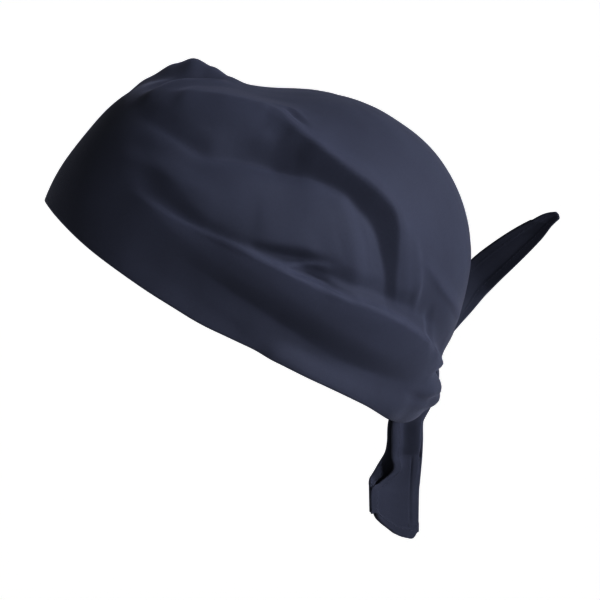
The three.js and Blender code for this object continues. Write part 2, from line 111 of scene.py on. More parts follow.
# Folds: name, fading distance above, below, sharpness of the crest on both sides or above and below, lean of
# the crest down the head, and the route's stops as (degrees round, degrees down, height)
FOLDS = [
    ("band_fold", 6, 27, (1, 0.25), -1.2, [
        (30, 84, 0), (42, 84, 1.6), (55, 83.5, 3), (72, 82, 4), (96, 81.5, 4.2), (121, 80.5, 4.5),
        (140, 83.5, 4), (155, 88, 3), (168, 92, 0)]),
    ("band_tuck", 8, 4, 0.3, 0, [
        (78, 79.5, 0), (90, 76.5, -1.4), (104, 76, -1.8), (118, 75, -1.2), (138, 77, -0.8), (150, 80, 0)]),
    ("band_hollow", 14, 12, (0.2, 0.4), 0, [
        (45, 93, 0), (60, 94, -1.5), (73, 95.5, -3), (92, 97.5, -4), (106, 98.5, -4), (122, 98.5, -3.5),
        (136, 97, -2.5), (148, 95, -1.5), (160, 94, 0)]),
    ("band_under", 20, 14, 0, 0, [
        (38, 99, 0), (50, 100.5, -2.5), (64, 102, -4.4), (78, 103.5, -4.2), (90, 104, -1.5), (99, 104, 0)]),
    ("band_roll", 13, 10, 0, 0, [
        (88, 107, 0), (98, 108, 2), (112, 109, 3.5), (126, 108, 3.5), (140, 106, 2.5), (150, 104, 0)]),
    ("temple_crease", 9, 9, 0, 0, [
        (24, 76, 0), (38, 79, -1.2), (50, 82, -1.6), (60, 83, -1), (70, 83, 0)]),
    ("side_puff", 24, 9, 0, 0, [
        (32, 77, 0), (45, 77.5, 1), (57, 78.5, 2), (69, 77.5, 3), (76, 75.2, 3.5), (83, 72.5, 3.5),
        (89, 70.8, 3.2), (96, 72.5, 2.6), (103, 77, 1.5), (108, 82, 0)]),
    ("crown_groove", 12, 20, (0.4, 0.8), 0, [
        (10, 68, 0), (25, 65, -1.8), (41, 63, -3.8), (51, 56, -4.6), (61, 51.5, -4.8), (71, 49, -5),
        (84, 47.5, -5), (95, 48.5, -5), (103, 52, -5), (110, 56, -5), (115, 62.5, -4.8), (119, 70, -4),
        (122, 78, -1), (124, 82, 0)]),
    ("front_groove", 19, 14, (0, 0.4), 0, [
        (18, 66, 0), (30, 64, -1.6), (42, 61.5, -2.9), (52, 55.5, -3.2), (62, 51, -2.6), (71, 48.5, -1.3),
        (80, 47, 0)]),
    ("crown_fold", 30, 12, (0.9, 1.2), 1.0, [
        (30, 43, 0), (38, 39.5, 0.8), (45, 37, 2), (52, 36.5, 3.2), (61, 38, 4.6), (71, 39.3, 5.7),
        (83, 41.5, 6), (94, 43.8, 6), (104, 46.5, 5.4), (112, 50, 4.4), (116, 54.5, 3.8), (119, 62, 3.3),
        (122, 71, 2.5), (126, 78, 0)]),
    ("front_fold", 24, 21, (0.7, 0.2), 1.0, [
        (8, 62, 0), (15, 55, 2.2), (21, 50.5, 4.4), (32, 43.5, 6.2), (43, 39.3, 6.4), (52, 38.5, 5.6),
        (62, 39, 3.6), (72, 40, 1.4), (84, 41.5, 0)]),
    ("crown_saddle", 34, 26, 0, 0, [
        (10, 20, 0), (31, 24, 0.4), (49, 32, 0.8), (57, 37, 0.8), (62, 41, 0.5), (67, 45, 0)]),
    ("nape_crease", 7, 4, (0.6, 1), 0.6, [
        (127, 62, 0), (132, 64, 0.6), (141, 68.5, 1), (150, 72, 1.2), (158, 75, 1.2), (166, 77, 0)]),
    ("nape_hollow", 11, 11, 0, 0, [
        (128, 68, 0), (136, 73, -0.8), (146, 79, -1.6), (154, 84, -1.5), (160, 88, 0)]),
    ("pinch", 6, 5, 0.2, 0, [(176, 90, -2.5), (168, 91, -5), (158, 92, -2.5), (150, 93, 0)]),
    ("lobe", 10, 12, 0, 0, [(146, 98, 0), (156, 97, 2.5), (164, 97, 4.5), (172, 97, 3.5), (178, 97, 0)]),
    # Right side
    ("band_fold_right", 9, 15, 0.5, 1.0, [
        (-38, 87, 0), (-58, 87, 2), (-80, 88, 3.5), (-104, 86, 4), (-128, 85, 4), (-146, 87, 3.5),
        (-160, 90, 0)]),
    ("band_tuck_right", 9, 7, 0.3, 0, [
        (-60, 82, 0), (-84, 80, -2), (-110, 78, -2.5), (-132, 79, -1.5), (-145, 82, 0)]),
    ("band_hollow_right", 12, 13, 0, 0, [
        (-50, 93, 0), (-75, 95, -2.5), (-102, 94, -3), (-130, 94, -2), (-150, 94, -1.5), (-162, 94, 0)]),
    ("side_puff_right", 22, 24, 0, 0, [
        (-42, 76, 0), (-56, 70, 2), (-76, 65, 3.5), (-94, 69, 3.5), (-104, 78, 0)]),
    ("crown_groove_right", 10, 16, 0, 0, [
        (-34, 68, 0), (-52, 58, -3), (-70, 52, -4), (-90, 53, -4), (-104, 60, -3.5), (-116, 69, -3),
        (-124, 79, 0)]),
    ("crown_fold_right", 22, 9, 0.5, 1.6, [
        (-32, 58, 0), (-48, 49, 2), (-66, 43, 4), (-86, 43, 4.5), (-104, 49, 4.5), (-118, 57, 4),
        (-128, 68, 2.5), (-134, 79, 0)]),
    ("nape_crease_right", 10, 6, 0.5, 0.6, [(-140, 60, 0), (-146, 67, 2), (-154, 73, 2.5), (-164, 78, 0)]),
    ("pinch_right", 6, 5, 0.2, 0, [(-176, 91, -2.5), (-167, 92, -3.5), (-156, 94, -2), (-147, 95, 0)]),
    ("lobe_right", 10, 12, 0, 0, [
        (-148, 99, 0), (-158, 98, 2.5), (-165, 98, 4.5), (-172, 97, 3.5), (-178, 97, 0)]),
    # Top and back
    ("front_peak", 18, 16, 0, 0, [
        (-26, 80, 0), (-24, 68, 1), (-22, 58, 4), (-19, 50, 8), (-17, 45, 10), (-15, 40.5, 6),
        (-12.5, 36, 2.2), (-10, 30, 0)]),
    ("top_lip", 9, 9, 0, 0, [(14, 66, 0), (9, 58, 1.5), (7, 50, 2.5), (5, 42, 2), (2, 34, 0)]),
    ("top_valley", 9, 9, 0, 0, [(5, 62, 0), (0, 52, -3), (-3, 44, -3), (-8, 36, 0)]),
    ("back_ridge", 12, 10, 0, 0, [(171, 83, 1.5), (168, 74, 0.6), (163, 62, 0.4), (158, 50, 0)]),
    ("back_valley", 9, 9, 0, 0, [(180, 81, -2.5), (181, 72, -2.5), (184, 61, -1), (186, 52, 0)]),
    # Finer creases of the left side
    ("hook_ridge", 3, 3, 0.3, 0, [
        (40, 31, 0), (45, 31.5, 0.5), (52, 29.5, 0.5), (59, 30.5, 0.4), (66, 33, 0)]),
    ("hook_dent", 3, 3, 0.2, 0, [
        (47, 30.5, 0), (51, 31.2, -1.0), (57, 32.6, -1.4), (63, 34, -1.0), (70, 36, 0)]),
    ("pocket_high", 4, 3, 0.3, 0, [
        (71, 79.5, 0), (75, 78.4, -1.2), (80, 77.2, -1.7), (86, 75.4, -1.7), (92, 73.6, -1.2),
        (98, 72.3, -0.5), (103, 71, 0)]),
    ("fork", 3.2, 2.6, 0.5, 0, [
        (80, 81.2, 0), (84, 80, 0.9), (87.5, 78.2, 1.4), (91, 76.2, 1.2), (95, 74.6, 0.7), (100, 73, 0)]),
    ("pocket_low", 3.6, 2, 0.2, 0, [
        (86, 81, 0), (89, 80.2, -1.1), (93, 79.4, -1.8), (98, 78.8, -2), (103, 79.2, -1.7),
        (108, 80, -0.9), (112, 80.6, 0)]),
    ("streak", 8, 8, 0.1, 0, [
        (91, 50, 0), (96, 54, 0.6), (102, 62, 0.9), (107, 70, 0.9), (110, 76, 0.5), (113, 80, 0)]),
    ("streak_hollow", 8, 8, 0, 0, [
        (87, 62, 0), (92, 68, -0.5), (98, 74, -0.5), (104, 79, 0)]),
    ("nape_streak", 5, 5, 0.2, 0, [(122, 55, 0), (126, 62, 0.9), (130, 71, 1.1), (134, 80, 0)]),
    ("nape_streak_low", 5, 6, 0.1, 0, [(137, 72, 0), (141, 78, -1.0), (145, 84, -0.8), (150, 88, 0)]),
    ("brow_crease", 10, 9, 0, 0, [(18, 74, 0), (28, 72, -1.2), (40, 69, -1.6), (52, 68, -0.8), (60, 68, 0)]),
    ("smile", 5, 5, 0.3, 0, [(142, 99, 0), (150, 99, -1.2), (158, 98, -2.0), (167, 96, -1.8), (173, 95, 0)]),
]
CREST_HIGHLIGHT_SHARPNESS = 0.4  # the crests of folds at least this sharp are lightened, a painted highlight
# Swells of slack cloth: height, waves round the head, their slant and phase, waves down it and their phase
SWELLS = [(0.35, 5, 3.1, 0.4, 4.3, 1.2), (0.25, 9, -5.3, 2.0, 6.1, 0), (0.16, 14, 9.0, 1.0, 8.7, 0.6)]
LINE_STEPS = 8  # points of a route between two of its stops

KNOT = {"around": 180.0, "down": 92.0, "width": 27.0, "height": 31.0, "edge": 1.5, "rise": 7.5}
KNOT_TURN = {"rise": 1.2, "slope": 0.28, "up": 0.5, "half": 8.5}  # the turn of cloth that lies uppermost
KNOT_WEAVE = (14.0, 16.0)
KNOT_RINGS, KNOT_COLUMNS = 44, 132
DIMPLE, DIMPLE_RADIUS = 9.0, 26.0


def smooth(t):
    return t * t * (3 - 2 * t)


def ramp(x, width):
    """Rises smoothly from 0 to 1 as x goes from 0 to the width."""
    return smooth(np.clip(x / width, 0, 1))


def bell(x):
    """Falls smoothly from 1 at 0 to 0 at 1 and -1."""
    return np.where(np.abs(x) < 1, (1 - np.minimum(x * x, 1)) ** 2, 0)


def crest(x, sharp):
    """Falls from 1 at a fold's crest to 0 at its foot. A sharp one has a crease along the crest."""
    x = np.minimum(np.abs(x), 1)
    return (1 - x) ** 2 * (1 + 2 * (1 - sharp) * x)


def read(table, at):
    """The second column of a table at places between its rows, on a smooth curve through them."""
    x, y = table[:, 0], table[:, 1]
    p = np.clip(at, x[0], x[-1])
    i = np.clip(np.searchsorted(x, p) - 1, 0, len(x) - 2)
    low, high = np.maximum(np.arange(len(x)) - 1, 0), np.minimum(np.arange(len(x)) + 1, len(x) - 1)
    slope = (y[high] - y[low]) / (x[high] - x[low])
    span = x[i + 1] - x[i]
    t = (p - x[i]) / span
    rise = (1 - t) ** 2 * t * span * slope[i] - (1 - t) * t * t * span * slope[i + 1]
    return y[i] * (1 - smooth(t)) + y[i + 1] * smooth(t) + rise


def read_round(table, degrees):
    """A table read all the way round, with its first row again after its last."""
    before, after = table[-2:] - (360, 0), table[:2] + (360, 0)
    return read(np.concatenate([before, table, after]), np.mod(degrees, 360))


def direction(around, down):
    """The way out from the head's centre, by degrees round from the forehead and down from AXIS."""
    a, d = np.radians(around)[..., None], np.radians(down)[..., None]
    return AXIS * np.cos(d) + FRONT * np.sin(d) * np.cos(a) + LEFT * np.sin(d) * np.sin(a)


def head_reach(d):
    """How far the bare head form lies from its centre in a direction."""
    up, front = d @ AXIS, d @ FRONT
    outline = read(OUTLINE, np.degrees(np.arctan2(front, up)))
    breadth = HALF_BREADTH * (1 - EGG * front)
    across = (np.abs(d[..., 0]) / breadth) ** SQUARENESS + (np.hypot(up, front) / outline) ** SQUARENESS
    return across ** (-1 / SQUARENESS)


def on_head(around, down):
    d = direction(np.asarray(around, float), np.asarray(down, float))
    return d * head_reach(d)[..., None] + HEAD_CENTRE


def rim_down(around):
    """Degrees down to the rim, found in steps because the head's reach changes on the way."""
    height = read_round(RIM, around)
    down = np.full(np.shape(around), 100.0)
    for _ in range(6):
        reach = head_reach(direction(around, down))
        down = np.degrees(np.arccos((height - HEAD_CENTRE @ AXIS) / reach))
    return down


def fold_line(route):
    """A route as many points on the head form, each with its height."""
    stops = on_head([s[0] for s in route], [s[1] for s in route])
    ends = np.concatenate([[2 * stops[0] - stops[1]], stops, [2 * stops[-1] - stops[-2]]])
    points, heights = [], []
    for k in range(len(route) - 1):
        p0, p1, p2, p3 = ends[k:k + 4]
        for t in np.arange(LINE_STEPS) / LINE_STEPS:
            points.append(0.5 * (2 * p1 + (p2 - p0) * t + (2 * p0 - 5 * p1 + 4 * p2 - p3) * t ** 2
                                 + (3 * p1 - p0 - 3 * p2 + p3) * t ** 3))
            heights.append(route[k][2] * (1 - smooth(t)) + route[k + 1][2] * smooth(t))
    return np.array(points + [stops[-1]]), np.array(heights + [route[-1][2]])


def fold_moves(p, out, above, below, sharp, lean, route):
    """How far a fold moves each point: out from the head, and down along it where its crest leans over."""
    line, heights = fold_line(route)
    side = np.sign(sum(math.sin(math.radians(s[0])) for s in route))
    reach = max(above, below)
    near = np.flatnonzero(((p > line.min(0) - reach) & (p < line.max(0) + reach)).all(1))
    lift, shift = np.zeros(len(p)), np.zeros_like(p)
    if not len(near):
        return lift, shift
    q, normal = p[near], out[near]
    best = np.full(len(near), 1e9)
    height, is_above = np.zeros(len(near)), np.zeros(len(near), bool)
    for k in range(len(line) - 1):
        step = line[k + 1] - line[k]
        t = np.clip((q - line[k]) @ step / (step @ step), 0, 1)
        off = q - line[k] - t[:, None] * step
        distance = np.linalg.norm(off, axis=1)
        closer = distance < best
        best[closer] = distance[closer]
        height[closer] = (heights[k] * (1 - t) + heights[k + 1] * t)[closer]
        is_above[closer] = ((np.cross(step, off) * normal).sum(1) * side > 0)[closer]
    width = np.where(is_above, above, below)
    sharp_above, sharp_below = sharp if isinstance(sharp, tuple) else (sharp, sharp)
    lift[near] = height * crest(best / width, np.where(is_above, sharp_above, sharp_below))
    if lean:
        downhill = -AXIS + (normal @ AXIS)[:, None] * normal
        downhill /= np.linalg.norm(downhill, axis=1)[:, None] + 1e-9
        share = np.abs(height) / max(abs(h) for h in heights)
        shift[near] = downhill * (lean * share * bell(best / (0.8 * width)))[:, None]
    return lift, shift


def drape(around, down):
    """The height of the slack cloth's swells, which no fold explains."""
    a, d = np.radians(around), np.radians(down)
    height = sum(high * np.sin(waves * a + slant * d + phase) * np.sin(rows * d + start)
                 for high, waves, slant, phase, rows, start in SWELLS)
    return height * np.sin(np.minimum(d, math.pi / 2))


def crown_points(around, down):
    """The crown's outside, with its folds and the dimple under the knot, and how proud each point stands."""
    shape = np.shape(around)
    a, d = np.ravel(around), np.ravel(down)
    p = on_head(a, d)
    out = direction(a, d)
    lift = drape(a, d) - DIMPLE * bell(np.linalg.norm(p - KNOT_SEAT, axis=1) / DIMPLE_RADIUS)
    shift, proud = np.zeros_like(p), np.zeros(len(p))
    for _, above, below, sharp, lean, route in FOLDS:
        up, along = fold_moves(p, out, above, below, sharp, lean, route)
        lift += up
        shift += along
        # Sharp fold crests are marked by how proud they stand, so that the cotton lightens them as a painted
        # highlight
        height = max(h for _, _, h in route)
        if height > 0 and np.max(sharp) >= CREST_HIGHLIGHT_SHARPNESS:
            proud = np.maximum(proud, up / height)
    p = p + out * lift[:, None] + shift
    return p.reshape(*shape, 3), proud.reshape(shape)


KNOT_SEAT = on_head(KNOT["around"], KNOT["down"])


def normals_of(rows, is_round):
    """The normals of a grid of points, whose rows close on themselves when it is round."""
    along = np.gradient(rows, axis=0)
    if is_round:
        across = (np.roll(rows, -1, 1) - np.roll(rows, 1, 1)) / 2
    else:
        across = np.gradient(rows, axis=1)
    n = np.cross(along, across)
    return n / (np.linalg.norm(n, axis=2)[..., None] + 1e-12)


def quads(rows, columns, is_round, start=0):
    """Corner numbers of a grid's quads, facing the way its normals do."""
    r = np.arange(rows - 1)[:, None]
    c = np.arange(columns if is_round else columns - 1)[None, :]
    next_c = (c + 1) % columns
    return (start + np.stack([r * columns + c, (r + 1) * columns + c, (r + 1) * columns + next_c,
                              r * columns + next_c], axis=2)).reshape(-1, 4)


def fan(middle, start, count, is_inside=False):
    """Triangles round a middle point that close a ring of points."""
    sides = [(start + c, start + (c + 1) % count) for c in range(count)]
    return [[middle, b, a] if is_inside else [middle, a, b] for a, b in sides]


def make_piece(name, points, faces, material, uv, proud=None):
    """A mesh object from points in millimetres and quads or triangles, smooth all over."""
    mesh = bpy.data.meshes.new(name)
    mesh.from_pydata((np.asarray(points) * MM).tolist(), [], [list(map(int, f)) for f in faces])
    mesh.polygons.foreach_set("use_smooth", np.ones(len(mesh.polygons), bool))
    layer = mesh.uv_layers.new(name="Weave")
    corners = np.empty(len(mesh.loops), int)
    mesh.loops.foreach_get("vertex_index", corners)
    layer.data.foreach_set("uv", (np.asarray(uv) * MM)[corners].astype(np.float32).ravel())
    if proud is not None:
        values = mesh.attributes.new("proud", "FLOAT", "POINT").data
        values.foreach_set("value", np.asarray(proud, np.float32))
    mesh.materials.append(material)
    mesh.validate()
    mesh.update()
    piece = bpy.data.objects.new(name, mesh)
    scene.collection.objects.link(piece)
    return piece


def crown_rows():
    """The crown's outside as a grid from the top to the rim, and the columns' and rows' places."""
    a = np.linspace(0, 360, COLUMNS, endpoint=False)
    around = a - DENSER * np.degrees(np.sin(np.radians(a - DENSE_AT)))
    share = np.linspace(0, 1, ROWS + 1)[:, None]
    down = TOP_HOLE + (rim_down(around) - TOP_HOLE) * share
    around = np.broadcast_to(around, down.shape)
    rows, proud = crown_points(around, down)
    return rows, proud, around, down


def flat_place(around, down):
    """Where a place on the head lies in the cloth laid flat, as near as a round form allows."""
    a, arc = np.radians(around) + math.radians(BIAS), np.radians(down) * MEAN_REACH
    return np.stack([arc * np.cos(a), arc * np.sin(a)], axis=-1)


def crown_inside(rows, normals, down):
    """The inside on every second row and column, from the rim up, with the turned-up band's step at its hem.

    Gives its points, the way out of the cloth at each, and each one's height over the rim.
    """
    rows, normals, down = rows[::2, ::2], normals[::2, ::2], down[::2, ::2]
    height = (down[-1] - down) * MM_A_DEGREE
    thick = CLOTH + (BAND - CLOTH) * ramp(BAND_HEIGHT - height, BAND_STEP)
    hem = BAND_HEM_THICK * ramp(BAND_HEIGHT - height, BAND_HEM_TOP)
    hem = hem * ramp(height - BAND_HEIGHT + BAND_HEM, BAND_HEM_FOOT)
    inside = rows - normals * (thick + hem)[..., None]
    return inside[:-1][::-1], -normals[:-1][::-1], height[:-1][::-1]


def band_seam(inside, out, height):
    """The line of the hem's stitches round the inside of the band, and the way out of the cloth along it."""
    line, ways = [], []
    for c in list(range(inside.shape[1])) + [0]:
        at = np.interp(BAND_HEIGHT - BAND_SEWN_AT, height[:, c], np.arange(len(height)))
        row = int(at)
        line.append(inside[row, c] * (1 - at + row) + inside[row + 1, c] * (at - row))
        ways.append(out[row, c])
    return np.array(line), np.array(ways)


def crown(material, thread):
    rows, proud, around, down = crown_rows()
    normals = normals_of(rows, True)
    place = flat_place(around, down)
    inside, inside_out, height = crown_inside(rows, normals, down)
    # The fold at the rim, half round
    tangent = rows[-1] - rows[-2]
    tangent /= np.linalg.norm(tangent, axis=1)[:, None]
    turns = [math.pi * k / RIM_STEPS for k in range(1, RIM_STEPS + 1)]
    rim = [rows[-1] - normals[-1] * (BAND / 2) * (1 - math.cos(t)) + tangent * (BAND / 2) * math.sin(t)
           for t in turns]
    points = np.concatenate([rows.reshape(-1, 3), *rim, inside.reshape(-1, 3)])
    uv = np.concatenate([place.reshape(-1, 2), *[place[-1]] * RIM_STEPS,
                         place[::2, ::2][:-1][::-1].reshape(-1, 2), np.zeros((2, 2))])
    half = COLUMNS // 2
    inner_start = (ROWS + 1 + RIM_STEPS) * COLUMNS
    rim_end = inner_start - COLUMNS
    faces = quads(ROWS + 1, COLUMNS, True).tolist()
    faces += quads(RIM_STEPS + 1, COLUMNS, True, ROWS * COLUMNS).tolist()
    faces += quads(len(inside), half, True, inner_start).tolist()
    # Where the fold's columns meet the inside's, two to one
    for c in range(half):
        near, far = inner_start + c, inner_start + (c + 1) % half
        first, middle, last = rim_end + 2 * c, rim_end + 2 * c + 1, rim_end + (2 * c + 2) % COLUMNS
        faces += [[first, near, middle], [middle, near, far, last]]
    # The top, closed by a fan on each side
    inner_top, top = len(points) - half, len(points)
    points = np.concatenate([points, [points[:COLUMNS].mean(0), points[inner_top:].mean(0)]])
    faces += fan(top, 0, COLUMNS) + fan(top + 1, inner_top, half, is_inside=True)
    proud = np.concatenate([proud.ravel(), np.zeros(len(points) - proud.size)])
    piece = make_piece("crown_cloth", points, faces, material, uv, proud)
    return sewn(piece, [band_seam(inside, inside_out, height)], thread)


def over_crown(left, up, out):
    """Points over the crown, by distances from the knot's middle to the left, upwards and outwards."""
    reach = np.linalg.norm(KNOT_SEAT - HEAD_CENTRE)
    down = KNOT["down"] - np.degrees(up / reach)
    around = KNOT["around"] - np.degrees(left / reach)
    p = crown_points(around, down)[0]
    n = np.cross(crown_points(around, down + 0.3)[0] - p, crown_points(around + 0.3, down)[0] - p)
    n /= np.linalg.norm(n, axis=-1)[..., None]
    return p + n * LIE_GAP + direction(around, down) * np.asarray(out)[..., None]


# The knot's creases, each a route in millimetres left and up of its middle, with its depth and reach
KNOT_CREASES = [
    (2.6, 2.6, [(-13, 9), (-6, 7.5), (2, 8.5), (8, 6), (13, 1)]),
    (2.8, 2.6, [(-13, -3), (-7, -6), (0, -7.5), (7, -9), (12, -12)]),
    (0.9, 1.9, [(-12, 5.5), (-6, 3.5), (1, 3.5), (7, 1.5), (12, -3)]),
    (0.8, 1.7, [(-11, 0.5), (-5, -1), (2, -2), (8, -4), (12, -7)]),
    (0.6, 1.3, [(-9, 3), (-3, 1), (3, 0.8), (8, -1)]),
    (1.3, 1.8, [(-4, 8), (-5, 12), (-6, 16)]),
    (1.0, 1.5, [(2, 9), (2.5, 12.5), (2, 16)]),
    (0.8, 1.4, [(6, 8), (8, 11), (8.5, 14)]),
    (1.3, 1.8, [(-1, -8), (-2, -12), (-1.5, -16)]),
    (0.9, 1.5, [(4, -9), (5, -12), (4.5, -16)]),
    (0.9, 1.5, [(-6, -7), (-7.5, -10), (-8, -13)]),
]


def knot_rise(left, up, share):
    """How far the knot's cloth rises over its edge, where share is 0 at its middle and 1 at its edge."""
    rise = KNOT["rise"] * (1 - share ** 2) ** 0.5
    over = np.abs(up + KNOT_TURN["slope"] * left - KNOT_TURN["up"]) / KNOT_TURN["half"]
    rise = rise + KNOT_TURN["rise"] * bell(over) * (1 - share ** 4)
    for depth, reach, route in KNOT_CREASES:
        nearest = np.full(np.shape(left), 1e9)
        for (x0, y0), (x1, y1) in zip(route, route[1:]):
            dx, dy = x1 - x0, y1 - y0
            t = np.clip(((left - x0) * dx + (up - y0) * dy) / (dx * dx + dy * dy), 0, 1)
            nearest = np.minimum(nearest, np.hypot(left - x0 - t * dx, up - y0 - t * dy))
        rise = rise - depth * crest(nearest / reach, 0.5) * (1 - share ** 6)
    return np.maximum(rise, 0)


def knot_points(share, degrees, extra=0.0, is_under=False):
    """Points of the knot by share of the way to its edge and degrees round it."""
    turn = np.radians(degrees)
    left, up = -share * np.cos(turn) * KNOT["width"] / 2, share * np.sin(turn) * KNOT["height"] / 2
    if is_under:
        return over_crown(left, up, np.zeros(np.shape(left)))
    return over_crown(left, up, KNOT["edge"] + knot_rise(left, up, share) + extra)


def knot(material):
    share = np.sin((np.arange(KNOT_RINGS) + 1) / KNOT_RINGS * math.pi / 2)[:, None]
    degrees = (360 * np.arange(KNOT_COLUMNS) / KNOT_COLUMNS)[None, :]
    share, degrees = np.broadcast_arrays(share, degrees)
    outer = knot_points(share, degrees)
    under = knot_points(share[::4], degrees[::4], is_under=True)
    points = np.concatenate([outer.reshape(-1, 3), under.reshape(-1, 3)])
    under_start, top = outer.shape[0] * KNOT_COLUMNS, len(points)
    edge, under_edge = under_start - KNOT_COLUMNS, top - KNOT_COLUMNS
    faces = quads(KNOT_RINGS, KNOT_COLUMNS, True).tolist()
    faces += [f[::-1] for f in quads(len(under), KNOT_COLUMNS, True, under_start).tolist()]
    for c in range(KNOT_COLUMNS):
        d = (c + 1) % KNOT_COLUMNS
        faces.append([edge + c, under_edge + c, under_edge + d, edge + d])
    points = np.concatenate([points, [outer[0].mean(0), under[0].mean(0)]])
    faces += fan(top, 0, KNOT_COLUMNS) + fan(top + 1, under_start, KNOT_COLUMNS, is_inside=True)
    turn = np.radians(degrees)
    place = np.stack([share * np.cos(turn) * KNOT_WEAVE[0], share * np.sin(turn) * KNOT_WEAVE[1]], -1)
    uv = np.concatenate([place.reshape(-1, 2), place[::4].reshape(-1, 2), np.zeros((2, 2))])
    return make_piece("knot_cloth", points, faces, material, uv)


# The ties' sections: place along, then x, y, z from the root, and the columns that each tie needs
UPPER_TIE = np.array([  # width, turn, curl
    (0, 0, 0, 0, 7.5, 12, 1.4), (8, -2, 5.4, 5.6, 8.5, 12, 1.6), (19, -6, 11.9, 12.8, 11, 8, 1.8),
    (33, -9, 18.4, 22.9, 16.2, 0, 1.8), (42, -7, 23.7, 29.6, 16.8, -4, 1.6),
    (57, 1, 32.8, 40.6, 15.2, -2, 1.6), (72, 11, 42.3, 52.2, 11, -2, 1.3),
    (81, 17.5, 47.4, 58.6, 6.8, -4, 0.8), (89, 22.5, 51.6, 61.9, 2.8, -3, 0.3)], float)
LOWER_TIE = np.array([  # turn, front, back, gap, roll, slant
    (0, 0, -3, -0.4, -4, 12, 12, 0, 1, 0), (4, 0.4, -3.4, -3.5, -6, 13, 13, 0, 1.6, 0),
    (15, 2.6, -8.2, -13, -12, 16, 16, 0.2, 2.4, 0), (27, 3, -8.7, -25, -12, 16, 16.5, 1, 2, 0),
    (33, 3, -8.9, -31, -12, 15.5, 17.2, 2.5, 1.2, 0), (40, 3, -9.4, -38, -12, 14, 20.4, 4, 0.6, 0),
    (47, 3, -9.8, -45, -15, 21, 24.4, 2.6, 0.3, 0.8), (52, 3, -9.9, -50, -20, 26.2, 25.4, 1.4, 0.3, 1.6),
    (71.5, 3, -9.9, -69.5, -22, 26.7, 25.7, 0.6, 0.2, 4.4)], float)
UPPER_ROOT = {"share": 0.97, "degrees": 58.0, "extra": 2.5}
LOWER_ROOT = {"share": 1.0, "degrees": -90.0, "extra": 0.5}
UPPER_STEPS, UPPER_COLUMNS = 130, 44
LOWER_STEPS, LAYER_COLUMNS, TURN_COLUMNS = 150, 44, 10  # columns of each layer, and of the fold between them
UPPER_CLOTH, LOWER_CLOTH = 0.85, 0.75
HEM_WIDE = 3.3
HEM_SHARE = 0.22  # of the upper tie's width, where that is less than the hem's breadth
HEM_ADDS, HEM_START, HEM_WAY = 0.4, 0.3, 0.8  # to the cloth's thickness, and how far past the hem it fades
EDGE_STEPS = 5  # round a half-round edge
END_TURNS = (math.pi / 6, math.pi / 3, 1.4)  # radians round the closed ends

# The upper tie: where its shape begins and ends, its roll, its slack waves, and the turned corner at its tip
UPPER_FADE = (14, 25)
UPPER_ROLL = {"height": 0.7, "at": 0.1, "drift": 0.3, "half": 0.8}
UPPER_SLACK = {"height": 0.35, "wave": 7.5, "slant": 2.4}
UPPER_CORNER = {"at": 79, "slant": 3.2, "height": 0.9, "way": 1.6, "fall": 0.16, "most": 9}

# The lower tie: its layers' fold, the bend, and the shapes of its front layer. Places across that layer are
# shares of its width, except the groove's, which are millimetres from the rear fold.
REAR_FOLD = 8.0  # from the middle of the tie to the fold that joins its layers
LAYER_TURN = 1.0  # radius of that fold
FREE_SIDE = 16.0  # from the middle of the tie to its free side
BEND = 33.0  # how far down the tie bends
LOWER_ROLL = {"at": 0.08, "half": 0.34}
LOWER_EDGE = {"height": 1.25, "from": 0.4, "way": 0.5, "tuck": 0.12}
LOWER_DIP = {"depth": 0.9, "half": 8, "sharp": 0.7, "from": 0.25}
LOWER_GROOVE = {"depth": 0.55, "half": 1.1, "sharp": 0.6, "at": 4.6, "from": 3, "stop": 5, "way": 4}
# How far the end is cut back, by the share of the way from the free side to the rear fold
END_CUT = np.array([
    (0, 16.6), (0.04, 13.6), (0.16, 10.3), (0.32, 7), (0.52, 3.1), (0.76, 0.6), (0.9, 0), (1, 2.4)])

# Stitches, and their rings: share of the length, then breadth and height as shares of the thickness
STITCH_LENGTH, STITCH_GAP, STITCH_THICK = 1.9, 0.7, 0.3
STITCH_SIDES = 6
STITCH_RINGS = [(0, 0.45, -0.6), (0.12, 1, -0.15), (0.5, 1, 0), (0.88, 1, -0.15), (1, 0.45, -0.6)]


def column(table, k, at):
    return read(table[:, [0, k]], at)


def tie_frame(root, table, at, turn_column):
    """Middle, across, out and along of a tie at places along it."""
    def middle(place):
        return np.stack([column(table, k, place) for k in (1, 2, 3)], -1) + root

    along = middle(at + 1) - middle(at - 1)
    along /= np.linalg.norm(along, axis=-1)[..., None]
    across = np.cross(LEFT, along)
    across /= np.linalg.norm(across, axis=-1)[..., None]
    turn = np.radians(column(table, turn_column, at))[..., None]
    across = across * np.cos(turn) + np.cross(along, across) * np.sin(turn)
    return middle(at), across, np.cross(along, across), along


